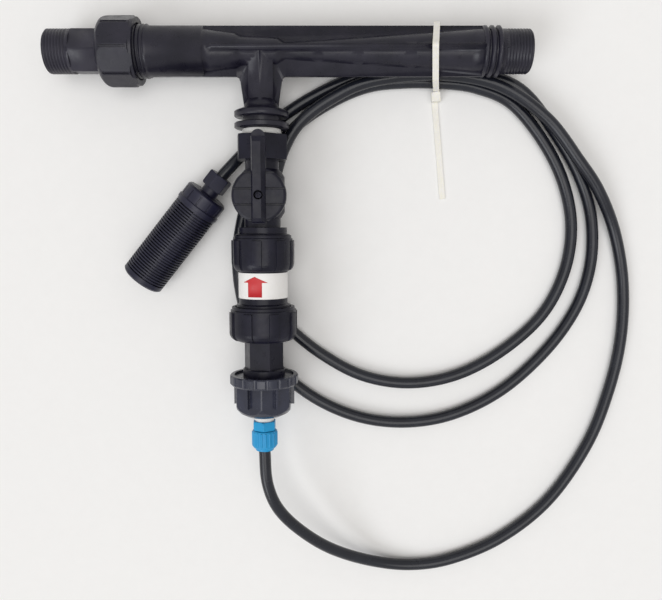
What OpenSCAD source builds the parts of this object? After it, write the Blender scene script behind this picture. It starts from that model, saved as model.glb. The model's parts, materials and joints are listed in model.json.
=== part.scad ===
// Venturi fertilizer injector with a ball valve, a check valve and a suction hose with a strainer.
// Millimetres. The flow runs along +X from the inlet thread's first full turn, which is the origin.
// The suction leg points to -Y, and +Z points up from the surface that the part lies on.

/* [Pose] */
// Angle by which the injector lies turned about its flow axis, with the suction leg raised
lie_angle = 3; // [1.5:0.5:5]

/* [Flow line] */
// Outside diameter of the inlet and outlet pipe threads
pipe_thread_d = 33.2; // [32.4:0.1:34]
// Length of the inlet thread
inlet_thread_len = 19; // [16:0.5:28]
// Length of the outlet thread
outlet_thread_len = 22; // [16:0.5:30]
// Diameter of the flow bore at both ends
flow_bore_d = 25; // [20:0.5:27]
// Size of the inlet tail's hexagon across its flats
tail_hex_af = 31; // [30:0.5:32.5]
// Length of the inlet tail's hexagon in front of the union nut
tail_hex_len = 21; // [18:0.5:30]

/* [Inlet union] */
// Diameter of the union thread on the venturi body
union_thread_d = 40; // [39.5:0.5:43]
// Length of the union thread
union_thread_len = 25; // [20:0.5:32]
// Size of the inlet union nut across its corners
union_nut_d = 52.5; // [51.5:0.5:56]
// Length of the inlet union nut
union_nut_len = 28.5; // [24:0.5:31]

/* [Venturi] */
// Outside diameter of the inlet tube
tube_d = 37.5; // [36:0.5:39.5]
// Length of the inlet tube
tube_len = 41; // [30:1:55]
// Length of the converging cone
cone_len = 24; // [18:1:32]
// Diameter at the end of the converging cone
cone_end_d = 27.2; // [25:0.2:30]
// Diameter of the suction chamber
chamber_d = 22.8; // [21:0.2:24.4]
// Length of the suction chamber
chamber_len = 28; // [27:0.5:34]
// Outside diameter at the throat
throat_d = 13.4; // [12:0.2:16]
// Length of the diffuser cone
diffuser_len = 149; // [130:1:180]
// Outside diameter at the end of the diffuser
diffuser_end_d = 33; // [30:0.5:35]
// Bore of the inlet nozzle
nozzle_bore_d = 7; // [5:0.2:8]
// Bore of the throat behind the nozzle
throat_bore_d = 8.4; // [7:0.2:9]
// Width of the flat web along the body
web_w = 37.5; // [36:0.5:39]
// Thickness of the flat web
web_t = 4; // [3:0.2:5]
// Height of the upright fins across the body
fin_h = 37; // [34:0.5:40]
// Thickness of the upright fins
fin_t = 3; // [2:0.2:4]
// Diameter of the outlet collars
collar_d = 38; // [37:0.5:43]

/* [Suction branch] */
// Size of the branch's hexagonal tube across its corners
branch_hex_d = 22; // [20.6:0.2:23]
// Bore of the branch
branch_bore_d = 9; // [7:0.2:10]
// Distance of the branch's first flange from the flow axis
branch_len = 45; // [42:0.2:50]
// Diameter of the branch's two flanges
branch_flange_d = 42; // [38:0.5:43]
// Diameter of the branch's male thread
branch_thread_d = 26.4; // [25.6:0.1:27]
// Width of the branch web at the body
branch_web_w = 32.7; // [30:0.5:36]

/* [Ball valve] */
// Size of the valve's hexagonal socket across its flats
socket_af = 37; // [34:0.5:37.5]
// Length of the valve's hexagonal socket
socket_len = 19; // [17:0.5:22]
// Diameter of the ball
ball_d = 22.4; // [21:0.2:23]
// Bore of the ball
ball_bore_d = 13.5; // [11:0.5:14.5]
// Diameter of the valve's barrel
barrel_d = 35; // [32:0.5:37]
// Diameter of the handle's disc
handle_d = 41; // [38:0.5:44]
// Length of the lever from the stem to its tip
lever_len = 48; // [40:1:52]
// Width of the lever
lever_w = 10.5; // [8:0.5:12]
// Height of the lever's top above the leg's axis
lever_top = 34; // [31:0.5:38]

/* [Check valve] */
// Diameter of the threads at both ends of the check valve
check_thread_d = 42.4; // [41:0.2:43.4]
// Outside diameter of the check valve's tube
check_tube_d = 38.2; // [37:0.2:38.6]
// Length of the check valve between its two union faces
check_len = 63.4; // [60:0.2:68]
// Size of the upper union nut across its corners
upper_nut_d = 49.5; // [48.5:0.5:53]
// Length of the upper union nut
upper_nut_len = 28; // [25:0.5:29]
// Size of the lower union nut across its corners
lower_nut_d = 54.5; // [50:0.5:55]
// Length of the lower union nut
lower_nut_len = 27.3; // [24:0.1:29]
// Width of the raised pads on the two union nuts
nut_pad_w = 7.4; // [5:0.2:9]
// Height of the flow label
label_h = 20; // [14:0.5:21]
// Gap between the label's two ends, under the tube
label_gap = 6; // [2:0.5:10]
// Stroke of the check poppet
poppet_stroke = 4; // [2:0.5:6]
// Diameter of the check poppet
poppet_d = 22; // [20:0.5:23]

/* [Tail and cap] */
// Size of the lower tail's hexagon across its flats
lower_hex_af = 27.3; // [24:0.1:27.4]
// Length of the lower tail's hexagon
lower_hex_len = 30.4; // [24:0.2:36]
// Diameter of the end cap's flange
cap_flange_d = 54.4; // [52:0.2:55]
// Length of the end cap's flange
cap_flange_len = 8.4; // [8:0.1:11]
// Size of the end cap's grip across its corners
cap_grip_d = 48.6; // [45:0.2:50]
// Length of the end cap
cap_len = 34.5; // [32:0.5:42]

/* [Hose fitting] */
// Size of the hose fitting's hexagon across its flats
fitting_af = 17; // [15:0.2:18]
// Diameter of the hose fitting's nut
fitting_nut_d = 21; // [19.6:0.2:23]
// Length of the hose fitting's nut
fitting_nut_len = 16.5; // [14:0.5:18]
// Outside diameter of the hose
hose_d = 9.6; // [9:0.1:9.6]

/* [Strainer] */
// Size of the strainer nut across its corners
strainer_nut_d = 20.4; // [19:0.2:22]
// Diameter of the strainer's cap
strainer_cap_d = 36.6; // [36:0.2:36.6]
// Diameter of the strainer's screen
screen_d = 35.2; // [33:0.2:35.6]
// Length of the strainer's screen
screen_len = 74.5; // [64:0.5:88]
// Number of rings round the screen
screen_rings = 30; // [20:1:30]

/* [Cable tie] */
// Width of the cable tie
tie_w = 4.8; // [3.6:0.2:6]
// Thickness of the cable tie
tie_t = 1.2; // [0.8:0.1:1.3]
// Length of the cable tie's loose end
tie_tail_len = 82; // [60:1:95]
// Distance of the cable tie from the outlet collars
tie_back = 33; // [31:0.5:36]

/* [Hidden] */
$fn = 72;
// Clearance of parts that are screwed or pushed together, and of parts that move
fit = 0.15;
run = 0.3;
edge = 0.8;
// Chamfer in front of the inlet thread's first full turn
thread_lead = 0.8;

// Stations along the flow axis
union_flange_t = 4.5;
union_shoulder_t = 8;
x_hex = inlet_thread_len;
x_nut = x_hex + tail_hex_len;
x_flange = x_nut + union_shoulder_t;
x_body = x_flange + union_flange_t;
x_tube = x_body + union_thread_len;
x_cone = x_tube + tube_len;
x_step = x_cone + cone_len;
x_chamber = x_step + 4;
x_neck = x_chamber + chamber_len;
x_diffuser = x_neck + 6;
x_collar = x_diffuser + diffuser_len;
collar_pitch = 5.2;
x_outlet = x_collar + 3 * collar_pitch;
x_end = x_outlet + outlet_thread_len;
leg_x = x_chamber + 15;
tube_r = tube_d / 2;
bore_r = flow_bore_d / 2;
pipe_r = pipe_thread_d / 2;
floor_z = -28;

// Stations down the suction leg, as distances from the flow axis
leg_flange_t = 4.5;
leg_flange_gap = 4.2;
d_flange2 = branch_len + leg_flange_t + leg_flange_gap;
d_thread = d_flange2 + leg_flange_t;
branch_thread_len = 18;
d_socket = d_thread + 4.8;
d_neck = d_socket + socket_len;
ball_r = ball_d / 2;
seat_t = 5.2;
d_ball = d_neck + 28;
d_seat_up = d_ball - ball_r - 1;
d_seat_low = d_ball + ball_r + 1;
d_barrel_end = d_ball + 17;
d_retainer = d_seat_low + 9;
d_collar = d_barrel_end + 7;
d_valve_end = d_collar + 17;
d_upper_nut = d_collar + 6;
check_flange_t = 5;
d_check_end = d_valve_end + check_len;
low_flange_t = 4;
low_shoulder_t = 5;
d_lower_nut = d_check_end + low_flange_t + low_shoulder_t - lower_nut_len;
d_lower_hex = d_check_end + low_flange_t;
d_cap = d_lower_hex + lower_hex_len + 1.7;
tail_thread_len = 14;
d_cap_floor = d_cap + tail_thread_len + 2;
d_cap_end = d_cap + cap_len;
d_fit_hex = d_cap_end + 4;
fitting_hex_len = 7.4;
d_fit_nut = d_fit_hex + fitting_hex_len + 0.3;
d_hose = d_fit_nut + 4.2;
d_exit = d_fit_nut + fitting_nut_len;
tail_bore_r = 9;
fit_thread_r = 6.5;
leg_thread_r = branch_thread_d / 2;
check_thread_r = check_thread_d / 2;
check_tube_r = check_tube_d / 2;
valve_bore_r = ball_bore_d / 2;
cavity_r = ball_r + run;

// The suction hose lies from the hose fitting to the strainer: outer turn, inner turn, middle turn.
hose_r = hose_d / 2;
hose_sides = 10;
hose_rings = 84;
function leg_point(d) = [leg_x, -d * cos(lie_angle), d * sin(lie_angle)];
hose_route = [leg_point(d_hose), leg_point(d_exit + 4),
    [163.2, -341.5, 17], [171.2, -364.6, 14], [188.4, -386.8, 7.3], [214.8, -410.5, -4.7],
    [249.5, -429, -17.6], [286.8, -436.1, -22.8], [323.8, -430.1, -23.2], [367, -409.9, -23.2],
    [407, -374.6, -23.2], [437.9, -323.8, -23.2], [454.1, -274, -23.2], [461.4, -227.5, -23.2],
    [460, -181.9, -23.2], [450.4, -140.3, -22.2], [433.3, -106.5, -16.2], [413.8, -80.5, -13.4],
    [386.7, -48, -13.4], [348.8, -23.4, -13.4], [302.6, -15, -13.3], [248.5, -19.6, -13.4],
    [215.8, -33, -13.5], [190.1, -52.1, -13.5], [176.5, -74.4, -14.8], [167.7, -101.4, -20],
    [156.8, -132.9, -22.9], [151, -165.8, -23.2], [158.1, -194.8, -23.2], [179.3, -219.8, -23.2],
    [207.2, -242.9, -23.2], [241.9, -261.7, -23.2], [281, -268.4, -23.2], [321.1, -261.7, -23.2],
    [358.5, -241.8, -23.2], [391.8, -211.1, -23.2], [409.6, -175.4, -23.2], [414.4, -137.1, -23.2],
    [406.5, -100.5, -23.2], [388.4, -66.6, -23.2], [361.4, -36.1, -23.2], [332.1, -23.6, -23],
    [303.1, -20, -21.7], [272.3, -19.6, -22.7], [243.6, -23.1, -23.2], [214.8, -35.1, -23.2],
    [186.8, -53.8, -23.2], [166.8, -77.8, -23.2], [149.8, -104.7, -23.2], [140.9, -132.9, -23.2],
    [137.2, -163.7, -23.2], [140.9, -198.1, -23.2], [152.3, -230.8, -23.2], [174.6, -260.6, -23.2],
    [207.1, -285.2, -23.2], [244.3, -299.9, -23.2], [283.7, -303.3, -23.2], [322.9, -295.4, -23.2],
    [362.7, -274, -23.2], [398.3, -239.6, -23.2], [421.6, -203.5, -23.2], [431.7, -167.9, -23.2],
    [430.9, -130.8, -23.2], [421, -98.5, -23.2], [401.9, -65.6, -23.2], [370.4, -27.1, -23.2],
    [337, -13.4, -23], [302.9, -10, -21.7], [272.2, -9.6, -22.7], [244.6, -12.1, -23.2],
    [217.9, -22.1, -23.2], [191, -36.1, -23.2], [169.2, -51.3, -22.9], [151.4, -68, -20.7],
    [138.3, -82.4, -13.2], [127.9, -93.8, -9.9], [122.7, -100.2, -9.6]];
hose_last = len(hose_route) - 1;
hose_end = hose_route[hose_last];
strainer_turn = 231;
function at_route(i) = hose_route[max(0, min(hose_last, i))];
function blend(a, b, c, d, t) = 0.5 * (2 * b + (c - a) * t + (2 * a - 5 * b + 4 * c - d) * t * t
    + (3 * b - a - 3 * c + d) * t * t * t);
function route_at(u) = let(i = min(floor(u), hose_last - 1))
    blend(at_route(i - 1), at_route(i), at_route(i + 1), at_route(i + 2), u - i);
function unit(v) = v / norm(v);

// Stations along the strainer, from the hose's end inside its nut
strainer_nut_len = 12.3;
t_nut = -8;
t_neck = t_nut + strainer_nut_len;
t_cap = t_neck + 6;
strainer_cap_len = 14.2;
t_screen = t_cap + strainer_cap_len;
t_screen_end = t_screen + screen_len;
screen_r = screen_d / 2;
screen_wall = 2.6;
ring_pitch = (screen_len - 6) / screen_rings;

module lie() {
    rotate([-lie_angle, 0, 0]) children();
}

// Turns a part that stands on +Z to the flow axis
module flow() {
    rotate([0, 90, 0]) children();
}

// Turns a part that stands on +Z down the suction leg
module leg() {
    lie() translate([leg_x, 0, 0]) rotate([90, 0, 0]) children();
}

// Turns a part that stands on +Z to the strainer's axis, from the hose's end
module strainer() {
    translate(hose_end) rotate([0, 90, strainer_turn]) children();
}

module turned(points) {
    rotate_extrude() polygon(points);
}

module ring(r_in, r_out, z, h) {
    translate([0, 0, z]) difference() {
        cylinder(r = r_out, h = h);
        translate([0, 0, -1]) cylinder(r = r_in, h = h + 2);
    }
}

module seal_ring(r_mid, r_cord, z) {
    translate([0, 0, z]) rotate_extrude() translate([r_mid, 0]) circle(r = r_cord, $fn = 24);
}

// Groove for a seal ring in a face at z, cut to the depth of the ring
module seal_groove(r_mid, r_cord, z) {
    ring(r_mid - r_cord - fit, r_mid + r_cord + fit, z, 2 * r_cord + fit);
}

// Prism of a given size across its flats, with its end edges taken off
module hex(af, z, h, turn) {
    corner = af / 2 / cos(30);
    intersection() {
        translate([0, 0, z]) rotate([0, 0, turn]) cylinder(r = corner, h = h, $fn = 6);
        turned([[0, z], [corner - edge, z], [corner - 0.1, z + edge], [corner - 0.1, z + h - edge],
            [corner - edge, z + h], [0, z + h]]);
    }
}

// Outline of a union nut that stands on its rounded shoulder at z = 0
function nut_outline(r, face_r, len) = concat([[0, 0]],
    [for (a = [0 : 15 : 90]) [face_r + (r - face_r) * sin(a), 7 * (1 - cos(a))]],
    [[r, len - 2.6], [r - 1, len - 2.2], [r - 1.2, len], [0, len]]);

// Union nut with an open threaded end. With a pad width it has eight raised pads, and without one
// eight flats with grooved corners.
module union_nut(d, len, hole_r, thread_r, shoulder, turn, pad_w) {
    r = d / 2;
    face_r = max(hole_r + 0.8, r - 8);
    difference() {
        if (pad_w > 0) {
            turned(nut_outline(r - 1.3, face_r - 0.3, len));
            intersection() {
                turned(nut_outline(r, face_r, len));
                union() for (i = [0 : 3]) rotate([0, 0, turn + 45 * i])
                    translate([-r - 1, -pad_w / 2, 1]) cube([d + 2, pad_w, len - 5]);
            }
        } else {
            intersection() {
                rotate([0, 0, turn]) cylinder(r = r + 0.6, h = len, $fn = 8);
                turned(nut_outline(r, face_r, len));
            }
        }
        if (pad_w == 0) for (i = [0 : 7])
            rotate([0, 0, turn + 45 * i]) translate([r - 1, -0.8, 5]) cube([3, 1.6, len - 9]);
        translate([0, 0, -1]) cylinder(r = hole_r, h = len + 2);
        translate([0, 0, shoulder]) cylinder(r = thread_r, h = len);
        translate([0, 0, len - 1.2]) cylinder(r1 = thread_r, r2 = thread_r + 1, h = 1.3);
    }
}

module venturi_body() {
    color("#26272b") lie() difference() {
        union() {
            flow() turned([[0, x_body], [union_thread_d / 2 - 1, x_body], [union_thread_d / 2, x_body + 1],
                [union_thread_d / 2, x_tube - 1.6], [tube_r, x_tube], [tube_r, x_cone - 0.4],
                [tube_r - 2.4, x_cone], [cone_end_d / 2, x_step], [chamber_d / 2, x_chamber],
                [chamber_d / 2 - 1.2, x_neck], [throat_d / 2, x_diffuser],
                [diffuser_end_d / 2, x_collar], [diffuser_end_d / 2, x_outlet], [0, x_outlet]]);
            for (i = [0 : 2]) outlet_collar(x_collar + i * collar_pitch);
            flow() turned([[0, x_outlet - 1], [pipe_r, x_outlet - 1], [pipe_r, x_end - 1.5],
                [pipe_r - 1.5, x_end], [0, x_end]]);
            translate([x_cone - 2, -web_w / 2, -web_t / 2])
                cube([x_collar - x_cone + 4, web_w, web_t]);
            upright_fin();
            branch();
        }
        flow_passage();
        rotate([90, 0, 0]) translate([leg_x, 0, 0]) cylinder(r = branch_bore_d / 2, h = d_thread);
        rotate([90, 0, 0]) translate([leg_x, 0, d_flange2 - 4])
            cylinder(r = valve_bore_r, h = branch_thread_len + 20);
        flow() translate([0, 0, x_body - 0.01]) seal_groove(17, 1.3, 0);
    }
}

module outlet_collar(x) {
    r = collar_d / 2;
    flow() turned([[0, x], [r - 1.8, x], [r, x + 1.4], [r, x + collar_pitch - 2.4],
        [r - 1.8, x + collar_pitch - 1], [0, x + collar_pitch - 1]]);
}

// Fins across the web, sloped at the inlet cone
module upright_fin() {
    rotate([90, 0, 0]) translate([0, 0, -fin_t / 2]) linear_extrude(fin_t)
        polygon([[x_cone + 8, -fin_h / 2], [x_collar + 1, -fin_h / 2], [x_collar + 1, fin_h / 2],
            [x_cone + 8, fin_h / 2], [x_cone + 4, fin_h / 2 - 3], [x_cone + 4, 3 - fin_h / 2]]);
}

// Side branch with its web, flanges and male thread
module branch() {
    web_end = branch_web_w / 2 - 3.2;
    round_r = 3;
    translate([leg_x, 0, 0]) rotate([90, 0, 0]) {
        rotate([0, 0, 90]) cylinder(r = branch_hex_d / 2, h = branch_len, $fn = 6);
        translate([0, 0, 0]) rotate([90, 0, 0]) translate([0, 0, -web_t / 2]) linear_extrude(web_t)
            polygon([[-branch_web_w / 2, 0], [branch_web_w / 2, 0], [branch_web_w / 2, web_w / 2],
                [web_end, branch_len - 4], [-web_end, branch_len - 4], [-branch_web_w / 2, web_w / 2]]);
        for (s = [-1, 1]) difference() {
            translate([s * (branch_web_w / 2 + round_r / 2 - 0.5), 0, web_w / 2 + round_r / 2 - 0.5])
                cube([round_r + 1, web_t, round_r + 1], center = true);
            translate([s * (branch_web_w / 2 + round_r), 0, web_w / 2 + round_r]) rotate([90, 0, 0])
                cylinder(r = round_r, h = web_t + 2, center = true);
        }
        turned([[0, branch_len - 9], [web_end - 2.6, branch_len - 9], [web_end, branch_len - 5],
            [web_end + 0.4, branch_len - 3], [branch_flange_d / 2 - 1.2, branch_len - 0.4],
            [branch_flange_d / 2, branch_len + 0.4], [branch_flange_d / 2, branch_len + leg_flange_t - 0.8],
            [branch_flange_d / 2 - 0.8, branch_len + leg_flange_t],
            [branch_flange_d / 2 - 6.5, branch_len + leg_flange_t],
            [branch_flange_d / 2 - 6.5, d_flange2], [branch_flange_d / 2 - 0.8, d_flange2],
            [branch_flange_d / 2, d_flange2 + 0.6], [branch_flange_d / 2, d_thread - 0.8],
            [branch_flange_d / 2 - 1.4, d_thread], [leg_thread_r, d_thread],
            [leg_thread_r, d_thread + branch_thread_len - 1.2],
            [leg_thread_r - 1.2, d_thread + branch_thread_len], [0, d_thread + branch_thread_len]]);
    }
}

// Converging nozzle, throat and diffuser
module flow_passage() {
    nozzle_r = nozzle_bore_d / 2;
    throat_r = throat_bore_d / 2;
    flow() turned([[0, x_body - 1], [bore_r, x_body - 1], [bore_r, x_cone - 8],
        [nozzle_r, leg_x - 4], [nozzle_r, leg_x + 3], [throat_r, leg_x + 4], [throat_r, x_diffuser],
        [bore_r, x_collar], [bore_r, x_end + 1], [0, x_end + 1]]);
}

module inlet_tail() {
    flange_r = union_thread_d / 2 - 0.6;
    hex_in = tail_hex_af / 2 - edge;
    color("#2b2d31") lie() flow() difference() {
        union() {
            turned([[0, -thread_lead], [pipe_r - thread_lead, -thread_lead], [pipe_r, 0], [pipe_r, x_hex],
                [hex_in, x_hex], [hex_in, x_hex + edge], [0, x_hex + edge]]);
            hex(tail_hex_af, x_hex, x_flange + edge - x_hex, 5);
            turned([[0, x_flange], [flange_r, x_flange], [flange_r, x_body - 0.5],
                [flange_r - 0.5, x_body], [0, x_body]]);
        }
        translate([0, 0, -2 * thread_lead]) cylinder(r = bore_r, h = x_body + 3 * thread_lead);
    }
}

module inlet_union_nut() {
    color("#26272b") lie() flow() translate([0, 0, x_nut])
        union_nut(union_nut_d, union_nut_len, tail_hex_af / 2 / cos(30) + fit, union_thread_d / 2 + fit,
            union_shoulder_t, 4, 0);
}

module inlet_seal() {
    color("#131313") lie() flow() seal_ring(17, 1.3, x_body + 1.3);
}

module branch_thread_tape() {
    color("#f1f1ee") leg() turned([[leg_thread_r + 0.02, d_thread], [leg_thread_r + 1.5, d_thread + 0.4],
        [leg_thread_r + 2, d_thread + 2.5], [leg_thread_r + 1.6, d_socket],
        [leg_thread_r + 0.4, d_socket], [leg_thread_r + 0.4, d_thread + branch_thread_len - 4],
        [leg_thread_r + 0.02, d_thread + branch_thread_len - 4]]);
}

module valve_body() {
    r = barrel_d / 2;
    neck_r = cavity_r + 2.6;
    color("#1c1d20") leg() difference() {
        union() {
            hex(socket_af, d_socket, socket_len, 81);
            turned([[0, d_neck - 1], [neck_r - 1, d_neck - 1], [neck_r - 1, d_ball - 21],
                [r - 2, d_ball - 18.5], [r, d_ball - 15], [r, d_ball + 12], [r - 2.5, d_barrel_end - 1],
                [neck_r, d_barrel_end], [neck_r, d_collar], [check_thread_r - 2.2, d_collar],
                [check_thread_r - 2.2, d_collar + 4.6], [check_thread_r, d_collar + 5.4],
                [check_thread_r, d_valve_end - 1], [check_thread_r - 1, d_valve_end], [0, d_valve_end]]);
            translate([0, 0, d_ball]) rotate([-90, 0, 0]) cylinder(r = 9.5, h = r + 3.4);
            for (a = [-1, 1]) translate([a * 9 - 1.5, 0, d_ball - 13]) cube([3, r + 0.8, 26]);
        }
        translate([0, 0, d_socket - 1])
            cylinder(r = leg_thread_r + 0.55, h = d_thread + branch_thread_len + run - d_socket + 1);
        translate([0, 0, d_socket]) cylinder(r = valve_bore_r, h = d_ball - d_socket);
        translate([0, 0, d_seat_up]) cylinder(r = cavity_r, h = d_valve_end - d_seat_up + 1);
        translate([0, 0, d_ball]) rotate([-90, 0, 0]) cylinder(r = 5.2, h = 2 * r);
        translate([0, 0, d_valve_end + 0.01]) mirror([0, 0, 1]) seal_groove(16.2, 1.1, 0);
    }
}

module valve_ball() {
    color("#e4e2dc") leg() difference() {
        translate([0, 0, d_ball]) sphere(r = ball_r);
        translate([0, 0, d_ball - ball_d]) cylinder(r = valve_bore_r, h = 2 * ball_d);
        translate([-1.8, ball_r - 2.4, d_ball - 5]) cube([3.6, 5, 10]);
    }
}

// Ring that bears on the ball from one side
module ball_seat(d) {
    color("#f4f2ea") leg() difference() {
        ring(valve_bore_r, cavity_r - 0.1, d, seat_t);
        translate([0, 0, d_ball]) sphere(r = ball_r + 0.2);
    }
}

module upper_ball_seat() {
    ball_seat(d_seat_up);
}

module lower_ball_seat() {
    ball_seat(d_seat_low - seat_t);
}

module ball_seat_retainer() {
    color("#1c1d20") leg() difference() {
        ring(valve_bore_r, cavity_r - 0.1, d_seat_low, d_retainer - d_seat_low);
        for (a = [0, 90]) rotate([0, 0, a])
            translate([-12, -1.2, d_retainer - 2]) cube([24, 2.4, 4]);
    }
}

stem_top = barrel_d / 2 + 3.4;
module valve_stem() {
    color("#d9d7cf") leg() translate([0, 0, d_ball]) rotate([-90, 0, 0]) difference() {
        union() {
            translate([-1.7, -4.9, ball_r - 2.3]) cube([3.4, 9.8, 4.4]);
            turned([[0, ball_r + 0.5], [4.9, ball_r + 0.5], [4.9, ball_r + 3], [3.8, ball_r + 3],
                [3.8, ball_r + 5.4], [4.9, ball_r + 5.4], [4.9, stem_top + 0.2], [0, stem_top + 0.2]]);
            translate([-3.2, -3.2, stem_top]) cube([6.4, 6.4, 5.4]);
        }
        translate([0, 0, stem_top - 2]) cylinder(r = 1.5, h = 10);
    }
}

module stem_seal() {
    color("#131313") leg() translate([0, 0, d_ball]) rotate([-90, 0, 0])
        seal_ring(4.45, 0.6, ball_r + 4.2);
}

// Knob with a lever bar along the open flow and grooved wings beside it
module valve_handle() {
    r = handle_d / 2;
    low = stem_top + run;
    deck = lever_top - 5;
    color("#1c1d20") leg() translate([0, 0, d_ball]) rotate([-90, 0, 0]) difference() {
        union() {
            turned([[0, low], [r - 1, low], [r, low + 1], [r, deck - 1.6], [r - 0.6, deck - 0.5],
                [r - 2, deck], [0, deck]]);
            lever_bar(low + 1, deck);
        }
        difference() {
            translate([0, 0, low - 1]) cylinder(r = r - 2.4, h = deck - low - 2);
            cylinder(r = 6.6, h = 60);
            translate([-lever_w / 2, -60, 0]) cube([lever_w, 120, 60]);
        }
        translate([-3.3, -3.3, low - 1]) cube([6.6, 6.6, stem_top + 5.6 - low + 1]);
        cylinder(r = 1.8, h = 60);
        translate([0, 0, lever_top - 3]) cylinder(r = 3.4, h = 10);
        for (y = [-18.6, -6.8, 5, 16.8]) for (s = [-1, 1])
            translate([s * (lever_w / 2 + 10) - 10, y - 0.7, deck - 1.4]) cube([20, 1.4, 3]);
    }
}

module lever_bar(low, deck) {
    tip = lever_w / 2;
    short_end = handle_d / 2 + 0.6;
    translate([-lever_w / 2, -short_end, low])
        cube([lever_w, lever_len - tip + short_end, deck - low + 1]);
    translate([0, lever_len - tip, low]) cylinder(r = tip, h = deck - low + 1);
    intersection() {
        rotate([90, 0, 90]) translate([0, 0, -lever_w / 2]) linear_extrude(lever_w)
            polygon([[lever_len - tip, deck], [-short_end, deck], [1.5 - short_end, lever_top - 1.2],
                [4 - short_end, lever_top], [lever_len - tip - 4, lever_top],
                [lever_len - tip, lever_top - 1.5]]);
        translate([0, lever_len, 0]) rotate([90, 0, 0]) linear_extrude(lever_len + handle_d)
            polygon([[-lever_w / 2, low], [lever_w / 2, low], [lever_w / 2, deck + 1],
                [lever_w / 2 - 3, lever_top], [1.2 - lever_w / 2, lever_top], [-lever_w / 2, deck + 2]]);
    }
}

module handle_screw() {
    color("#2b2c2e") leg() translate([0, 0, d_ball]) rotate([-90, 0, 0]) difference() {
        union() {
            translate([0, 0, stem_top - 1]) cylinder(r = 1.4, h = lever_top - stem_top - 1);
            turned([[0, lever_top - 3], [3.1, lever_top - 3], [3.1, lever_top - 1.8],
                [2.4, lever_top - 1.1], [0, lever_top - 0.8]]);
        }
        for (a = [0, 90]) rotate([0, 0, a]) translate([-1.8, -0.4, lever_top - 1.9]) cube([3.6, 0.8, 3]);
    }
}

module upper_union_nut() {
    color("#1c1d20") leg() translate([0, 0, d_upper_nut + upper_nut_len]) mirror([0, 0, 1])
        union_nut(upper_nut_d, upper_nut_len, check_tube_r + fit, check_thread_r + fit,
            d_upper_nut + upper_nut_len - d_valve_end - check_flange_t, 6, nut_pad_w);
}

module upper_union_seal() {
    color("#131313") leg() seal_ring(16.2, 1.1, d_valve_end - 1.1);
}

module check_valve_body() {
    d_tube = d_valve_end + check_flange_t;
    d_low = d_check_end - 20;
    seat_d = d_check_end - 7;
    color("#202124") leg() difference() {
        turned([[0, d_valve_end], [check_thread_r - 0.6, d_valve_end],
            [check_thread_r - 0.2, d_valve_end + 0.4], [check_thread_r - 0.2, d_tube],
            [check_tube_r, d_tube], [check_tube_r, d_low - 1],
            [check_thread_r, d_low], [check_thread_r, d_check_end - 1], [check_thread_r - 1, d_check_end],
            [0, d_check_end]]);
        translate([0, 0, d_valve_end - 1]) cylinder(r = 14.6, h = 17);
        translate([0, 0, d_valve_end]) cylinder(r = 13, h = seat_d - d_valve_end);
        translate([0, 0, d_valve_end]) cylinder(r = 8.4, h = check_len + 2);
        translate([0, 0, d_check_end + 0.01]) mirror([0, 0, 1]) seal_groove(15.5, 1.1, 0);
    }
}

poppet_seat = d_check_end - 7;
module check_poppet() {
    r = poppet_d / 2;
    color("#e4e2dc") leg() turned([[0, d_valve_end + 4], [2.2, d_valve_end + 4], [2.6, d_valve_end + 4.6],
        [2.6, poppet_seat - 7], [4, poppet_seat - 5.6], [r, poppet_seat - 5], [r, poppet_seat - 2],
        [7.4, poppet_seat - 2], [7.4, poppet_seat + 0.4], [3, poppet_seat + 5], [0, poppet_seat + 5.4]]);
}

module poppet_seal() {
    color("#151515") leg() ring(7.4, poppet_d / 2 - 0.4, poppet_seat - 2, 1.9);
}

spring_r = 5.6;
spring_wire = 0.5;
spring_top = d_valve_end + 14;
spring_len = poppet_seat - 5.6 - spring_top - 2 * spring_wire - run - 0.1;
module check_spring() {
    turns = 6;
    steps = 18 * turns;
    sides = 8;
    points = [for (i = [0 : steps]) let(a = 360 * turns * i / steps) for (k = [0 : sides - 1])
        let(b = 360 * k / sides, q = spring_r + spring_wire * cos(b))
        [q * cos(a), q * sin(a),
            spring_top + spring_wire + 0.1 + spring_len * i / steps + spring_wire * sin(b)]];
    sleeve = [for (i = [0 : steps - 1]) for (k = [0 : sides - 1]) let(n = (k + 1) % sides)
        [i * sides + k, i * sides + n, (i + 1) * sides + n, (i + 1) * sides + k]];
    ends = [[for (k = [sides - 1 : -1 : 0]) k], [for (k = [0 : sides - 1]) steps * sides + k]];
    faces = [for (f = concat(sleeve, ends)) [for (j = [len(f) - 1 : -1 : 0]) f[j]]];
    color("#b8babc") leg() polyhedron(points, faces);
}

// Sleeve with spokes that guides the poppet's stem and carries its spring
module spring_cage() {
    top = d_valve_end + 0.1;
    hub = spring_top - 6;
    color("#3a3c40") leg() difference() {
        union() {
            ring(12.6, 14.5, top, 15.8);
            intersection() {
                translate([0, 0, hub]) cylinder(r = 13.5, h = 6);
                union() {
                    for (a = [0, 60, 120]) rotate([0, 0, a])
                        translate([-14, -1.2, hub + 1]) cube([28, 2.4, 5]);
                }
            }
            translate([0, 0, hub]) cylinder(r = 7, h = 6);
        }
        translate([0, 0, hub - 1]) cylinder(r = 2.6 + run, h = 10);
    }
}

module flow_label() {
    top = d_valve_end + 18;
    color("#f3f1ec") leg() difference() {
        ring(check_tube_r + 0.05, check_tube_r + 0.28, top, label_h);
        translate([-label_gap / 2, -2 * check_tube_r, top - 1])
            cube([label_gap, 2 * check_tube_r, label_h + 2]);
    }
}

module lower_union_nut() {
    color("#1c1d20") leg() translate([0, 0, d_lower_nut + lower_nut_len]) mirror([0, 0, 1])
        union_nut(lower_nut_d, lower_nut_len, lower_hex_af / 2 / cos(30) + fit, check_thread_r + fit,
            low_shoulder_t, 22, nut_pad_w);
}

module lower_union_seal() {
    color("#131313") leg() seal_ring(15.5, 1.1, d_check_end - 1.1);
}

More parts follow.
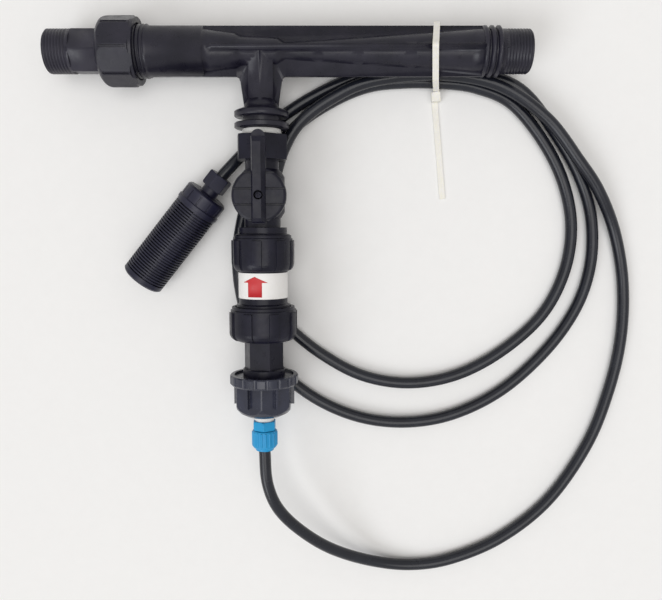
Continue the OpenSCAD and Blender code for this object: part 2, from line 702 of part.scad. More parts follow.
module lower_tail() {
    flange_r = check_thread_r - 0.3;
    ring_d = d_cap - 1.7;
    color("#1f2023") leg() difference() {
        union() {
            turned([[0, d_check_end], [flange_r - 0.4, d_check_end], [flange_r, d_check_end + 0.4],
                [flange_r, d_lower_hex], [0, d_lower_hex]]);
            hex(lower_hex_af, d_lower_hex - 2 * edge, lower_hex_len + 2 * edge, 68);
            turned([[0, ring_d - 3], [pipe_r - 0.5, ring_d - 3], [pipe_r, ring_d - 2.5],
                [pipe_r, d_cap + tail_thread_len - 1.2], [pipe_r - 1.2, d_cap + tail_thread_len],
                [0, d_cap + tail_thread_len]]);
        }
        translate([0, 0, d_check_end - 1]) cylinder(r = tail_bore_r, h = d_cap_floor - d_check_end + 1);
    }
}

// Female cap with a scalloped flange, six grip faces and a domed end
module end_cap() {
    r = cap_flange_d / 2;
    grip = cap_grip_d / 2;
    d_grip = d_cap + cap_flange_len;
    color("#1c1d20") leg() difference() {
        union() {
            turned([[0, d_cap], [r - 1, d_cap], [r, d_cap + 1], [r, d_grip - 1.6], [r - 1.4, d_grip],
                [0, d_grip]]);
            intersection() {
                translate([0, 0, d_grip - 1]) rotate([0, 0, 90]) cylinder(r = grip, h = cap_len, $fn = 6);
                turned([[0, d_cap], [grip - 0.3, d_cap], [grip - 0.3, d_cap_end - 10],
                    [grip - 1.6, d_cap_end - 7], [grip - 4.6, d_cap_end - 3.6],
                    [grip - 9, d_cap_end - 1.2], [9, d_cap_end], [0, d_cap_end]]);
            }
            for (a = [0 : 60 : 300]) rotate([0, 0, a])
                translate([0, -1.1, d_grip - 1]) cube([grip - 0.2, 2.2, d_cap_end - 9 - d_grip]);
        }
        translate([0, 0, d_cap - 1]) cylinder(r = r - 3.6, h = 2.6);
        translate([0, 0, d_cap]) cylinder(r = pipe_r + fit, h = d_cap_floor - d_cap);
        translate([0, 0, d_cap]) cylinder(r = fit_thread_r + 0.1, h = cap_len + 2);
        for (i = [0 : 17]) rotate([0, 0, 20 * i])
            translate([r + 1.2, 0, d_cap - 1]) cylinder(r = 2, h = cap_flange_len + 1);
    }
}

module end_cap_seal() {
    color("#131313") leg() ring(tail_bore_r + 0.5, pipe_r - 0.4, d_cap_floor - 2, 2);
}

module fitting_tape() {
    color("#f1f1ee") leg() turned([[fit_thread_r + 0.02, d_cap_end + 0.05],
        [fit_thread_r + 1.1, d_cap_end + 0.05], [fit_thread_r + 1.7, d_cap_end + 1],
        [fit_thread_r + 1.5, d_fit_hex - 0.9],
        [fit_thread_r + 0.9, d_fit_hex], [fit_thread_r + 0.02, d_fit_hex]]);
}

module hose_fitting_body() {
    color("#2b9ee0") leg() difference() {
        union() {
            turned([[0, d_cap_floor + 1], [fit_thread_r - 1, d_cap_floor + 1],
                [fit_thread_r, d_cap_floor + 2], [fit_thread_r, d_fit_hex + edge], [0, d_fit_hex + edge]]);
            hex(fitting_af, d_fit_hex, fitting_hex_len, 90);
            turned([[0, d_fit_hex + 5], [6.2, d_fit_hex + 5], [6.2, d_hose + 5], [0, d_hose + 5]]);
        }
        translate([0, 0, d_cap_floor]) cylinder(r = 3, h = d_exit - d_cap_floor);
        translate([0, 0, d_hose]) cylinder(r = hose_r + 0.2, h = 10);
    }
}

// Round nut with ribs along its grip
module hose_fitting_nut() {
    r = fitting_nut_d / 2;
    color("#2b9ee0") leg() difference() {
        union() {
            turned([[0, d_fit_nut], [r - 1.2, d_fit_nut], [r - 0.7, d_fit_nut + 0.6], [r - 0.7, d_exit - 3.4],
                [r - 1.6, d_exit - 2.2], [r - 3, d_exit - 1.6], [r - 3.2, d_exit], [0, d_exit]]);
            for (i = [0 : 17]) rotate([0, 0, 20 * i])
                translate([r - 1, 0, d_fit_nut + 1.2]) cylinder(r = 0.9, h = fitting_nut_len - 5.4);
        }
        translate([0, 0, d_fit_nut - 1]) cylinder(r = 6.2 + fit, h = d_hose + 8 - d_fit_nut);
        translate([0, 0, d_fit_nut]) cylinder(r = hose_r + 0.25, h = fitting_nut_len + 2);
    }
}

module hose_ferrule() {
    color("#d9d7cf") leg() ring(hose_r + 0.1, 6.2, d_hose + 5, 2);
}

// Tube along the hose's route
module suction_hose() {
    rings = [for (i = [0 : hose_rings]) hose_last * i / hose_rings];
    points = [for (u = rings)
        let(p = route_at(u), t = unit(route_at(min(u + 0.05, hose_last)) - route_at(max(u - 0.05, 0))),
            side = unit(cross(t, [0, 0, 1])), up = cross(side, t))
        for (k = [0 : hose_sides - 1]) let(b = 360 * k / hose_sides)
            p + hose_r * (side * cos(b) + up * sin(b))];
    sleeve = [for (i = [0 : hose_rings - 1]) for (k = [0 : hose_sides - 1]) let(n = (k + 1) % hose_sides)
        [i * hose_sides + k, i * hose_sides + n, (i + 1) * hose_sides + n, (i + 1) * hose_sides + k]];
    ends = [[for (k = [hose_sides - 1 : -1 : 0]) k],
        [for (k = [0 : hose_sides - 1]) hose_rings * hose_sides + k]];
    color("#2a2f3a") polyhedron(points, concat(sleeve, ends));
}

module strainer_nut() {
    color("#1d212b") strainer() difference() {
        hex(strainer_nut_d * cos(30), t_nut, strainer_nut_len, 10);
        translate([0, 0, t_nut - 1]) cylinder(r = hose_r + 0.25, h = 40);
        translate([0, 0, -2]) cylinder(r = 6 + fit, h = 40);
    }
}

module strainer_ferrule() {
    color("#d9d7cf") strainer() ring(hose_r + 0.1, 6, -2, 2);
}

module strainer_cap() {
    r = strainer_cap_d / 2;
    color("#1d212b") strainer() difference() {
        turned([[0, 0.2], [6, 0.2], [6, t_neck], [7, t_neck], [7, t_cap - 1], [8.4, t_cap],
            [r - 2.2, t_cap], [r - 0.8, t_cap + 1.4], [r - 0.8, t_screen - 3.4], [r, t_screen - 2.8],
            [r, t_screen], [0, t_screen]]);
        translate([0, 0, 0]) cylinder(r = 3, h = 40);
        translate([0, 0, t_cap + 3]) cylinder(r = screen_r - 1.6 + fit, h = 40);
        for (i = [0 : 11]) rotate([0, 0, 30 * i])
            translate([r - 1.5, -0.6, t_cap + 2.6]) cube([3, 1.2, strainer_cap_len - 6.6]);
    }
}

// Screen with rings round the outside and slots along the inside that open through between the rings
module strainer_screen() {
    neck_r = screen_r - 1.6;
    inner_r = screen_r - screen_wall;
    gap = 0.5 * ring_pitch;
    color("#1d212b") strainer() difference() {
        union() {
            turned([[0, t_cap + 4], [neck_r, t_cap + 4], [neck_r, t_screen], [screen_r, t_screen],
                [screen_r, t_screen_end - 1.5], [screen_r - 1.5, t_screen_end], [0, t_screen_end]]);
        }
        translate([0, 0, t_cap]) cylinder(r = inner_r, h = t_screen_end - t_cap - 2.4);
        for (i = [0 : screen_rings - 1])
            ring(screen_r - 1.4, screen_r + 2, t_screen + 2 + i * ring_pitch, gap);
        for (a = [0 : 90 : 270]) rotate([0, 0, a + 20]) intersection() {
            translate([0, -7, t_screen + 1.5]) cube([screen_r, 14, screen_len - 5]);
            translate([0, 0, t_screen]) cylinder(r = screen_r - 1.2, h = screen_len);
        }
    }
}

// Strap round the web, the fin and the three hose strands, with its head and its loose end
tie_x = x_collar - tie_back;
tie_strands = [-20, -10];
tie_head_len = 7;
tie_head_y = tie_strands[0] - hose_r - run - tie_t - tie_head_len / 2;
module tie_outline(grow) {
    hull() {
        lie_spot(web_w / 2, 0, web_t / 2 + grow + run);
        lie_spot(-web_w / 2, 0, web_t / 2 + grow + run);
        lie_spot(0, fin_h / 2, fin_t / 2 + grow + run);
        for (y = tie_strands) translate([y, -21.7]) circle(r = hose_r + grow + run, $fn = 24);
    }
}

module lie_spot(y, z, r) {
    translate([y * cos(lie_angle) + z * sin(lie_angle), z * cos(lie_angle) - y * sin(lie_angle)])
        circle(r = r, $fn = 24);
}

module cable_tie() {
    color("#eceae2") union() {
        translate([tie_x - tie_w / 2, 0, 0]) rotate([90, 0, 90]) linear_extrude(tie_w) difference() {
            tie_outline(tie_t);
            tie_outline(0);
        }
        translate([tie_x, tie_head_y, floor_z + 4.4]) rotate([0, 0, 6])
            cube([tie_w + 2.4, tie_head_len, 7.6], center = true);
        translate([tie_x - 1.4, tie_head_y - 1.5, floor_z + 0.1]) rotate([0, 0, -84])
            translate([-2, -tie_w / 2, 0]) cube([tie_tail_len, tie_w, tie_t]);
    }
}

venturi_body();
inlet_tail();
inlet_union_nut();
inlet_seal();
branch_thread_tape();
valve_body();
valve_ball();
upper_ball_seat();
lower_ball_seat();
ball_seat_retainer();
valve_stem();
stem_seal();
valve_handle();
handle_screw();
upper_union_nut();
upper_union_seal();
check_valve_body();
check_poppet();
poppet_seal();
check_spring();
spring_cage();
flow_label();
lower_union_nut();
lower_union_seal();
lower_tail();
end_cap();
end_cap_seal();
fitting_tape();
hose_fitting_body();
hose_fitting_nut();
hose_ferrule();
suction_hose();
strainer_nut();
strainer_ferrule();
strainer_cap();
strainer_screen();
cable_tie();
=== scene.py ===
"""Looks of the venturi fertilizer injector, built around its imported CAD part."""
import json
import math

import bmesh
import bpy
from mathutils import Matrix, Vector


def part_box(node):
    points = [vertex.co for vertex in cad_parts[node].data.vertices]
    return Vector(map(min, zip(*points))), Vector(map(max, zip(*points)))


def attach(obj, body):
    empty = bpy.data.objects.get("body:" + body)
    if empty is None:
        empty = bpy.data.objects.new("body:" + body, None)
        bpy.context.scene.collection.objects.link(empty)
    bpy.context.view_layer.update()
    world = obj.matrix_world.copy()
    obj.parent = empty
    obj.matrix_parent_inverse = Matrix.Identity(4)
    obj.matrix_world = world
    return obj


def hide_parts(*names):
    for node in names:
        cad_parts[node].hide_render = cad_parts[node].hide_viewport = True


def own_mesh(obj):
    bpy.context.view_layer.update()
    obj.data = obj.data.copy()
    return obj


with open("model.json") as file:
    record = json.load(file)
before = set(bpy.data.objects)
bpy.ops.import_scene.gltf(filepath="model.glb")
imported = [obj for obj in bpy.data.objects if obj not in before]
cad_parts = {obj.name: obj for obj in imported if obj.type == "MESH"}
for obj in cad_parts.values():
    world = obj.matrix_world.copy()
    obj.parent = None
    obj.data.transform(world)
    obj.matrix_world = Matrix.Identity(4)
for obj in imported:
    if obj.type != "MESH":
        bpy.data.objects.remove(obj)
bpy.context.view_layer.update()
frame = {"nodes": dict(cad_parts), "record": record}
nodes = frame["nodes"]
slot_of = {s["node"]: s["material_slot"] for s in frame["record"]["subparts"]}
scene = bpy.context.scene


# Places on the object, in millimetres until they are made

MM = 0.001
LIE = math.radians(3)
LEG_X = 161.5
FLOW = Vector((1, 0, 0))
UP = Vector((0, 0, 1))
LEG_DOWN = Vector((0, -math.cos(LIE), math.sin(LIE)))
LEG_UP = Vector((0, math.sin(LIE), math.cos(LIE)))
SHARP_ANGLE = math.radians(32)


def leg_point(d, r=0, angle=0):
    """The point d along the suction leg, at radius r and an angle from its upper side."""
    out = FLOW * math.sin(angle) + LEG_UP * math.cos(angle)
    return FLOW * LEG_X + LEG_DOWN * d + out * r


def link(obj):
    """Puts an object into the scene."""
    scene.collection.objects.link(obj)
    return obj


def bridge(bm, a, b, closed=True):
    """Faces between two rows of as many points, which close into rings unless they are open."""
    for k in range(len(a) if closed else len(a) - 1):
        n = (k + 1) % len(a)
        bm.faces.new((a[k], a[n], b[n], b[k]))


def mesh_object(name, bm):
    """An object made of a finished bmesh, with its faces all turned the same way."""
    bmesh.ops.recalc_face_normals(bm, faces=bm.faces)
    mesh = bpy.data.meshes.new(name)
    bm.to_mesh(mesh)
    bm.free()
    return link(bpy.data.objects.new(name, mesh))


# Materials

def new_material(name):
    """A material with its node tree and its shader."""
    mat = bpy.data.materials.new(name)
    mat.use_nodes = True
    tree = mat.node_tree
    return mat, tree, tree.nodes["Principled BSDF"]


def noise(tree, scale, detail=3, rough=0.55, stretch=(1, 1, 1)):
    """A noise in the object's own metres; scale is in features to the metre."""
    coord = tree.nodes.new("ShaderNodeTexCoord")
    place = tree.nodes.new("ShaderNodeMapping")
    place.inputs["Scale"].default_value = stretch
    tex = tree.nodes.new("ShaderNodeTexNoise")
    tex.inputs["Scale"].default_value = scale
    tex.inputs["Detail"].default_value = detail
    tex.inputs["Roughness"].default_value = rough
    tree.links.new(coord.outputs["Object"], place.inputs["Vector"])
    tree.links.new(place.outputs["Vector"], tex.inputs["Vector"])
    return tex.outputs["Fac"]


def remap(tree, value, low, high, to_low, to_high):
    """A value brought from one range to another, and kept inside it."""
    node = tree.nodes.new("ShaderNodeMapRange")
    node.inputs["From Min"].default_value = low
    node.inputs["From Max"].default_value = high
    node.inputs["To Min"].default_value = to_low
    node.inputs["To Max"].default_value = to_high
    tree.links.new(value, node.inputs["Value"])
    return node.outputs["Result"]


def mixed(tree, factor, a, b):
    """A colour between two colours."""
    node = tree.nodes.new("ShaderNodeMix")
    node.data_type = "RGBA"
    tree.links.new(factor, node.inputs["Factor"])
    node.inputs["A"].default_value = (*a, 1)
    node.inputs["B"].default_value = (*b, 1)
    return node.outputs["Result"]


def varied(tree, bsdf, pattern, dark, light, smooth, rough):
    """Colour and roughness that vary together over a pattern."""
    tree.links.new(mixed(tree, pattern, dark, light), bsdf.inputs["Base Color"])
    tree.links.new(remap(tree, pattern, 0.3, 0.7, smooth, rough), bsdf.inputs["Roughness"])


def bumped(tree, bsdf, height, strength, depth, edge=0):
    """Bump, depth metres high, over edges that are rounded by edge metres."""
    bump = tree.nodes.new("ShaderNodeBump")
    bump.inputs["Strength"].default_value = strength
    bump.inputs["Distance"].default_value = depth
    tree.links.new(height, bump.inputs["Height"])
    if edge:
        bevel = tree.nodes.new("ShaderNodeBevel")
        bevel.samples = 4
        bevel.inputs["Radius"].default_value = edge
        tree.links.new(bevel.outputs["Normal"], bump.inputs["Normal"])
    tree.links.new(bump.outputs["Normal"], bsdf.inputs["Normal"])


def plastic(name, dark, light, rough, spread=0.12, grain=900, strength=0.25, edge=0.0005, shine=0.32):
    """Moulded plastic: uneven gloss, a fine grain and slightly rounded edges."""
    mat, tree, bsdf = new_material(name)
    bsdf.inputs["Specular IOR Level"].default_value = shine
    patches = remap(tree, noise(tree, 55, detail=4), 0.35, 0.7, 0, 1)
    tree.links.new(mixed(tree, patches, dark, light), bsdf.inputs["Base Color"])
    handled = noise(tree, 140, detail=5, rough=0.65)
    tree.links.new(remap(tree, handled, 0.3, 0.72, rough - spread, rough + spread), bsdf.inputs["Roughness"])
    bumped(tree, bsdf, noise(tree, grain), strength, depth=0.00012, edge=edge)
    return mat


def tape(name):
    """White thread tape wound round the leg: thin layers with frayed edges."""
    mat, tree, bsdf = new_material(name)
    layers = noise(tree, 120, detail=5, rough=0.7, stretch=(1, 9, 1))
    varied(tree, bsdf, layers, (0.70, 0.70, 0.69), (0.93, 0.93, 0.92), smooth=0.45, rough=0.7)
    bsdf.inputs["Subsurface Weight"].default_value = 0.15
    bsdf.inputs["Subsurface Radius"].default_value = (0.002, 0.002, 0.002)
    bumped(tree, bsdf, layers, strength=0.7, depth=0.0006)
    return mat


def metal(name, colour):
    """Drawn or turned metal with fine marks."""
    mat, tree, bsdf = new_material(name)
    brushed = noise(tree, 300, detail=4, rough=0.6, stretch=(1, 1, 8))
    bsdf.inputs["Base Color"].default_value = (*colour, 1)
    bsdf.inputs["Metallic"].default_value = 1
    tree.links.new(remap(tree, brushed, 0.3, 0.7, 0.22, 0.42), bsdf.inputs["Roughness"])
    bumped(tree, bsdf, brushed, strength=0.15, depth=0.0001, edge=0.0002)
    return mat


def nylon(name):
    """Milky nylon that lets some light in."""
    mat, tree, bsdf = new_material(name)
    cloudy = noise(tree, 200)
    varied(tree, bsdf, cloudy, (0.80, 0.78, 0.72), (0.92, 0.91, 0.87), smooth=0.3, rough=0.45)
    bsdf.inputs["Subsurface Weight"].default_value = 0.4
    bsdf.inputs["Subsurface Radius"].default_value = (0.004, 0.004, 0.003)
    bumped(tree, bsdf, noise(tree, 1200, detail=2), strength=0.1, depth=0.0001, edge=0.0003)
    return mat


def paper(name, colour, shade):
    """Coated paper, or ink on it."""
    mat, tree, bsdf = new_material(name)
    fibres = noise(tree, 260, detail=4, rough=0.6)
    varied(tree, bsdf, fibres, shade, colour, smooth=0.4, rough=0.55)
    bumped(tree, bsdf, noise(tree, 700, detail=2), strength=0.1, depth=0.0001)
    return mat


materials = {
    "black_pp": plastic("black_pp", (0.009, 0.0085, 0.017), (0.019, 0.0175, 0.030), 0.34, shine=0.34),
    "grey_black_pp": plastic("grey_black_pp", (0.012, 0.011, 0.021), (0.021, 0.019, 0.034), 0.38, shine=0.38),
    "valve_plastic": plastic("valve_plastic", (0.005, 0.005, 0.012), (0.012, 0.0115, 0.024), 0.34, shine=0.22),
    "seal_rubber": plastic("seal_rubber", (0.008, 0.008, 0.008), (0.014, 0.014, 0.014), 0.62),
    "thread_tape": tape("thread_tape"),
    "white_plastic": plastic("white_plastic", (0.70, 0.69, 0.65), (0.80, 0.79, 0.75), 0.35),
    "steel": metal("steel", (0.56, 0.57, 0.58)),
    "dark_steel": metal("dark_steel", (0.014, 0.014, 0.019)),
    "label_paper": paper("label_paper", (0.93, 0.92, 0.925), (0.86, 0.85, 0.83)),
    "blue_plastic": plastic("blue_plastic", (0.014, 0.300, 0.620), (0.022, 0.370, 0.710), 0.34, spread=0.08),
    "hose_plastic": plastic("hose_plastic", (0.009, 0.010, 0.016), (0.014, 0.016, 0.024), 0.25, spread=0.06,
                            grain=500, strength=0.12, edge=0, shine=0.36),
    "strainer_plastic": plastic("strainer_plastic", (0.009, 0.009, 0.024), (0.016, 0.016, 0.037), 0.38,
                                shine=0.34),
    "tie_plastic": nylon("tie_plastic"),
}
cap_plastic = plastic("cap_plastic", (0.012, 0.014, 0.030), (0.023, 0.026, 0.050), 0.25, spread=0.07, shine=0.5)
# Painted shade: dark matte stuff for the sleeve that makes the strainer's slots look shaded
shade_sleeve_black = plastic("shade_sleeve_black", (0.005, 0.005, 0.013), (0.010, 0.010, 0.022), 0.62,
                     grain=1600, strength=0.6, edge=0)
arrow_ink = paper("arrow_ink", (0.60, 0.028, 0.034), (0.52, 0.020, 0.026))


def dress(obj, slot, mat=None):
    """Gives an object its slot's material, or another one."""
    obj.data.materials.clear()
    obj.data.materials.append(mat or materials[slot])
    return obj


for node_name, node_object in nodes.items():
    dress(node_object, slot_of[node_name])
dress(nodes["end_cap"], "valve_plastic", cap_plastic)


# Suction hose: one smooth curve through the points that the CAD model's hose runs through

HOSE_D = 9.6
HOSE_IN, HOSE_OUT = 300.9, 317.2
HOSE_STEPS = 10
HOSE_ROUTE = [
    tuple(leg_point(HOSE_IN)), tuple(leg_point(HOSE_OUT)),
    (163.2, -341.5, 17), (171.2, -364.6, 14), (188.4, -386.8, 7.3), (214.8, -410.5, -4.7),
    (249.5, -429, -17.6), (286.8, -436.1, -22.8), (323.8, -430.1, -23.2), (367, -409.9, -23.2),
    (407, -374.6, -23.2), (437.9, -323.8, -23.2), (454.1, -274, -23.2), (461.4, -227.5, -23.2),
    (460, -181.9, -23.2), (450.4, -140.3, -22.2), (433.3, -106.5, -16.2), (413.8, -80.5, -13.4),
    (386.7, -48, -13.4), (348.8, -23.4, -13.4), (302.6, -15, -13.3), (248.5, -19.6, -13.4),
    (215.8, -33, -13.5), (190.1, -52.1, -13.5), (176.5, -74.4, -14.8), (167.7, -101.4, -20),
    (156.8, -132.9, -22.9), (151, -165.8, -23.2), (158.1, -194.8, -23.2), (179.3, -219.8, -23.2),
    (207.2, -242.9, -23.2), (241.9, -261.7, -23.2), (281, -268.4, -23.2), (321.1, -261.7, -23.2),
    (358.5, -241.8, -23.2), (391.8, -211.1, -23.2), (409.6, -175.4, -23.2), (414.4, -137.1, -23.2),
    (406.5, -100.5, -23.2), (388.4, -66.6, -23.2), (361.4, -36.1, -23.2), (332.1, -23.6, -23),
    (303.1, -20, -21.7), (272.3, -19.6, -22.7), (243.6, -23.1, -23.2), (214.8, -35.1, -23.2),
    (186.8, -53.8, -23.2), (166.8, -77.8, -23.2), (149.8, -104.7, -23.2), (140.9, -132.9, -23.2),
    (137.2, -163.7, -23.2), (140.9, -198.1, -23.2), (152.3, -230.8, -23.2), (174.6, -260.6, -23.2),
    (207.1, -285.2, -23.2), (244.3, -299.9, -23.2), (283.7, -303.3, -23.2), (322.9, -295.4, -23.2),
    (362.7, -274, -23.2), (398.3, -239.6, -23.2), (421.6, -203.5, -23.2), (431.7, -167.9, -23.2),
    (430.9, -130.8, -23.2), (421, -98.5, -23.2), (401.9, -65.6, -23.2), (370.4, -27.1, -23.2),
    (337, -13.4, -23), (302.9, -10, -21.7), (272.2, -9.6, -22.7), (244.6, -12.1, -23.2),
    (217.9, -22.1, -23.2), (191, -36.1, -23.2), (169.2, -51.3, -22.9), (151.4, -68, -20.7),
    (138.3, -82.4, -13.2), (127.9, -93.8, -9.9), (122.7, -100.2, -9.6),
]


def smooth_route(points, steps):
    """Points on the smooth curve that passes through each of the given points."""
    pts = [Vector(p) for p in points]
    last = len(pts) - 1
    line = []
    for i in range(last):
        a, b = pts[max(0, i - 1)], pts[i]
        c, d = pts[i + 1], pts[min(last, i + 2)]
        for k in range(steps):
            t = k / steps
            line.append(0.5 * (2 * b + (c - a) * t + (2 * a - 5 * b + 4 * c - d) * t * t
                               + (3 * b - a - 3 * c + d) * t ** 3))
    line.append(pts[last])
    return line


def tube(name, points, diameter):
    """A round tube along points in millimetres, as a curve of one open spline."""
    curve = bpy.data.curves.new(name, "CURVE")
    curve.dimensions = "3D"
    curve.bevel_depth = diameter / 2 * MM
    curve.bevel_resolution = 7
    curve.use_fill_caps = True
    spline = curve.splines.new("POLY")
    spline.points.add(len(points) - 1)
    for knot, p in zip(spline.points, points):
        knot.co = (*(p * MM), 1)
    spline.use_smooth = True
    return link(bpy.data.objects.new(name, curve))


# Painted shade: a dark sleeve inside the strainer's screen, which stops light from passing between the rings,
# so that the slots show dark as if shaded

STRAINER_AT = Vector(HOSE_ROUTE[-1])
STRAINER_TURN = math.radians(231)
SHADE_SLEEVE_FROM, SHADE_SLEEVE_TO = 15.0, 96.4
SHADE_SLEEVE_R, SHADE_SLEEVE_WALL = 14.8, 0.3
SHADE_SLEEVE_SIDES = 96


def sleeve(name, start, end, radius, wall):
    """A thin open tube on the strainer's axis, from start to end along it."""
    axis = Vector((math.cos(STRAINER_TURN), math.sin(STRAINER_TURN), 0))
    side = Vector((-axis.y, axis.x, 0))
    turns = [2 * math.pi * k / SHADE_SLEEVE_SIDES for k in range(SHADE_SLEEVE_SIDES)]
    spokes = [side * math.cos(t) + UP * math.sin(t) for t in turns]
    bm = bmesh.new()
    rings = []
    for along, r in ((start, radius), (end, radius), (end, radius - wall), (start, radius - wall)):
        centre = STRAINER_AT + axis * along
        rings.append([bm.verts.new((centre + spoke * r) * MM) for spoke in spokes])
    for a, b in zip(rings, rings[1:] + rings[:1]):
        bridge(bm, a, b)
    obj = mesh_object(name, bm)
    obj.data.shade_smooth()
    obj.data.set_sharp_from_angle(angle=SHARP_ANGLE)
    return obj


# Painted shade: a dark sheet inside the screen stands in for the shade seen through its slots
shade_sleeve = sleeve("strainer_shade_sleeve", SHADE_SLEEVE_FROM, SHADE_SLEEVE_TO, SHADE_SLEEVE_R, SHADE_SLEEVE_WALL)
dress(shade_sleeve, "strainer_plastic", shade_sleeve_black)
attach(shade_sleeve, "injector")

hose = tube("hose", smooth_route(HOSE_ROUTE, HOSE_STEPS), HOSE_D)
dress(hose, "hose_plastic")
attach(hose, "injector")
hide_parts("suction_hose")


# Threads: helical grooves round the flow axis, cut into copies of the CAD nodes

PIPE = dict(radius=16.6, pitch=2.309, depth=0.95)
UNION = dict(radius=20, pitch=3.0, depth=1.1)
THREAD_STEPS = 60
CUTTER_OVER = 0.4
GROOVE_MOUTH, GROOVE_FLOOR = 0.43, 0.10


def helix_cutter(start, length, radius, pitch, depth):
    """A wedge wound round the flow axis, open outward, that cuts one screw groove."""
    side = FLOW.cross(UP)
    top, bottom = radius + CUTTER_OVER, radius - depth
    mouth, floor_half = GROOVE_MOUTH * pitch, GROOVE_FLOOR * pitch
    section = [(top, mouth), (top, -mouth), (bottom, -floor_half), (bottom, floor_half)]
    bm = bmesh.new()
    rings = []
    for i in range(int(length / pitch * THREAD_STEPS) + 1):
        turn = 2 * math.pi * i / THREAD_STEPS
        along = start + pitch * i / THREAD_STEPS
        out = UP * math.cos(turn) + side * math.sin(turn)
        rings.append([bm.verts.new((FLOW * (along + x) + out * r) * MM) for r, x in section])
    for a, b in zip(rings, rings[1:]):
        bridge(bm, a, b)
    bm.faces.new(rings[0][::-1])
    bm.faces.new(rings[-1])
    return mesh_object("cutter", bm)


def threaded(node, name, cuts):
    """A copy of a CAD node with screw grooves cut into it, shown in its place."""
    mesh = nodes[node].data.copy()
    bm = bmesh.new()
    bm.from_mesh(mesh)
    bmesh.ops.remove_doubles(bm, verts=bm.verts, dist=1e-6)
    bm.to_mesh(mesh)
    bm.free()
    obj = link(bpy.data.objects.new(name, mesh))
    cutters = [helix_cutter(**cut) for cut in cuts]
    for cutter in cutters:
        mod = obj.modifiers.new("groove", "BOOLEAN")
        mod.operation = "DIFFERENCE"
        mod.solver = "EXACT"
        mod.object = cutter
    bpy.context.view_layer.update()
    cut_mesh = bpy.data.meshes.new_from_object(obj.evaluated_get(bpy.context.evaluated_depsgraph_get()))
    obj.modifiers.clear()
    obj.data = cut_mesh
    for cutter in cutters:
        bpy.data.objects.remove(cutter)
    cut_mesh.shade_smooth()
    cut_mesh.set_sharp_from_angle(angle=SHARP_ANGLE)
    slot = slot_of[node]
    dress(obj, slot)
    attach(obj, "injector")
    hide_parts(node)


threaded("inlet_tail", "inlet_tail_threaded", [dict(start=-2.6, length=20.4, **PIPE)])
threaded("venturi_body", "venturi_body_threaded", [
    dict(start=347, length=23, **PIPE),
    dict(start=51, length=25, **UNION)])


# Check valve spring, copied into a mesh of its own; it keeps its CAD length, though the real one shortens as
# the poppet lifts

spring = link(bpy.data.objects.new("check_spring_coil", nodes["check_spring"].data.copy()))
dress(spring, "steel")
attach(spring, "injector")
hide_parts("check_spring")
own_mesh(spring)


# Cable tie, whose loop leans, so that the band looks straight from the photo's camera

TIE_LEAN = 0.17
STRAND_SLANT, STRAND_SIDE = -0.32, 20


def leaning_tie(name):
    """A copy of the tie that leans about its middle, and keeps outside the strands that turn away below."""
    mesh = nodes["cable_tie"].data.copy()
    low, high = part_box("cable_tie")
    middle = (low[2] + high[2]) / 2
    for vert in mesh.vertices:
        shift = TIE_LEAN * (middle - vert.co.z)
        side = min(1, max(0, -vert.co.y / (STRAND_SIDE * MM)))
        vert.co.x += shift
        vert.co.y += STRAND_SLANT * max(0, shift) * side
    return link(bpy.data.objects.new(name, mesh))


tie = dress(leaning_tie("cable_tie_leaning"), "tie_plastic")
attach(tie, "injector")
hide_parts("cable_tie")


# Red arrow printed on the label, pointing up the leg to the venturi

ARROW_R = 19.46
ARROW_TIP, ARROW_NECK, ARROW_TAIL = 171.5, 176.2, 187.4
ARROW_CENTRE = -4.9
ARROW_HEAD, ARROW_SHAFT = 21.0, 11.5
HEAD_ROWS, BARB_COLUMNS, SHAFT_COLUMNS = 12, 6, 12
INK = 0.05


def arrow_print(name):
    """A flat arrow bent round the label, in one sheet: the head's rows from the tip, then the shaft."""
    half = ARROW_SHAFT / ARROW_HEAD / 2
    barb = 0.5 - half
    shares = [-0.5 + barb * k / BARB_COLUMNS for k in range(BARB_COLUMNS)]
    shares += [half * (2 * k / SHAFT_COLUMNS - 1) for k in range(SHAFT_COLUMNS + 1)]
    shares += [half + barb * k / BARB_COLUMNS for k in range(1, BARB_COLUMNS + 1)]
    shaft = slice(BARB_COLUMNS, BARB_COLUMNS + SHAFT_COLUMNS + 1)
    bm = bmesh.new()

    def row(d, width, columns):
        angles = [(ARROW_CENTRE + width * u) / ARROW_R for u in columns]
        return [bm.verts.new(leg_point(d, ARROW_R, angle) * MM) for angle in angles]

    tip = row(ARROW_TIP, 0, [0])[0]
    step = (ARROW_NECK - ARROW_TIP) / HEAD_ROWS
    grid = [row(ARROW_TIP + step * i, ARROW_HEAD * i / HEAD_ROWS, shares) for i in range(1, HEAD_ROWS + 1)]
    tail = row(ARROW_TAIL, ARROW_HEAD, shares[shaft])
    for a, b in zip(grid[0], grid[0][1:]):
        bm.faces.new((tip, b, a))
    for a, b in [*zip(grid, grid[1:]), (grid[-1][shaft], tail)]:
        bridge(bm, a, b, closed=False)
    obj = mesh_object(name, bm)
    obj.data.shade_smooth()
    ink = obj.modifiers.new("ink", "SOLIDIFY")
    ink.thickness = INK * MM
    return obj


arrow = dress(arrow_print("label_arrow"), "label_paper", arrow_ink)
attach(arrow, "injector")


# Floor, light and camera, in metres apart from the floor's height

FLOOR_Z = -28.1
FLOOR_HALF = 25
CAMERA_AT = Vector((0.2152, -0.104, 0.5594))
CAMERA_TILT = math.radians(9)
CAMERA_LENS, CAMERA_SENSOR = 38.07, 36
CAMERA_NEAR, CAMERA_FAR = 0.01, 50


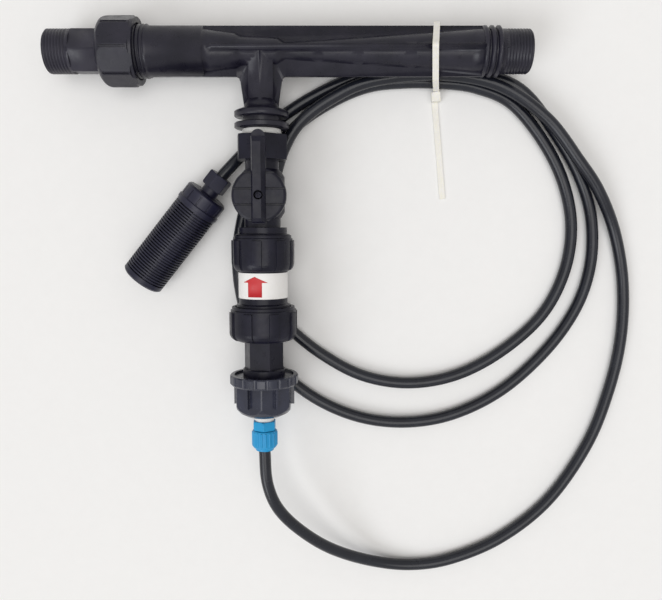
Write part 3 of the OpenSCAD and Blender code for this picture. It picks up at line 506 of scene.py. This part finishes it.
def floor():
    """A wide sheet of pale paper."""
    h, z = FLOOR_HALF, FLOOR_Z * MM
    mesh = bpy.data.meshes.new("floor")
    mesh.from_pydata([(-h, -h, z), (h, -h, z), (h, h, z), (-h, h, z)], [], [(0, 1, 2, 3)])
    obj = link(bpy.data.objects.new("floor", mesh))
    mat, tree, bsdf = new_material("floor_paper")
    fibres = noise(tree, 90, detail=5, rough=0.6)
    varied(tree, bsdf, fibres, (0.89, 0.89, 0.892), (0.93, 0.93, 0.932), smooth=0.75, rough=0.85)
    bumped(tree, bsdf, noise(tree, 500), strength=0.05, depth=0.0002)
    obj.data.materials.append(mat)
    return obj


def soft_sun(name, towards, spread, energy, colour):
    """An even light that comes from a direction, as soft as a source that many degrees wide."""
    data = bpy.data.lights.new(name, "SUN")
    data.energy = energy
    data.color = colour
    data.angle = math.radians(spread)
    obj = link(bpy.data.objects.new(name, data))
    obj.rotation_euler = Vector(towards).to_track_quat("Z", "Y").to_euler()


def room_light():
    """Soft light from all round; the camera, gloss and clear pieces see a pale backdrop instead."""
    world = bpy.data.worlds.new("room_light")
    world.use_nodes = True
    tree = world.node_tree
    light = tree.nodes["Background"]
    light.inputs["Color"].default_value = (1.0, 0.97, 0.93, 1)
    light.inputs["Strength"].default_value = 0.46
    backdrop = tree.nodes.new("ShaderNodeBackground")
    backdrop.inputs["Color"].default_value = (0.82, 0.815, 0.805, 1)
    path = tree.nodes.new("ShaderNodeLightPath")
    seen = path.outputs["Is Camera Ray"]
    for ray in ("Is Glossy Ray", "Is Transmission Ray"):
        either = tree.nodes.new("ShaderNodeMath")
        either.operation = "MAXIMUM"
        tree.links.new(seen, either.inputs[0])
        tree.links.new(path.outputs[ray], either.inputs[1])
        seen = either.outputs["Value"]
    mix = tree.nodes.new("ShaderNodeMixShader")
    tree.links.new(seen, mix.inputs["Fac"])
    tree.links.new(light.outputs["Background"], mix.inputs[1])
    tree.links.new(backdrop.outputs["Background"], mix.inputs[2])
    tree.links.new(mix.outputs["Shader"], tree.nodes["World Output"].inputs["Surface"])
    return world


def camera():
    """The photo's camera, which looks almost straight down."""
    data = bpy.data.cameras.new("camera")
    data.sensor_width = CAMERA_SENSOR
    data.lens = CAMERA_LENS
    data.clip_start = CAMERA_NEAR
    data.clip_end = CAMERA_FAR
    obj = link(bpy.data.objects.new("camera", data))
    back = Vector((0, math.sin(CAMERA_TILT), math.cos(CAMERA_TILT)))
    turn = Matrix((FLOW, back.cross(FLOW).normalized(), back)).transposed().to_4x4()
    obj.matrix_world = Matrix.Translation(CAMERA_AT) @ turn
    return obj


floor()
soft_sun("window", towards=(-0.8, -0.75, 1.0), spread=32, energy=0.9, colour=(0.95, 0.975, 1.0))
soft_sun("ceiling", towards=(0.05, -0.05, 1.0), spread=45, energy=1.0, colour=(1.0, 0.985, 0.965))
scene.world = room_light()
scene.camera = camera()
scene.view_settings.view_transform = "Standard"
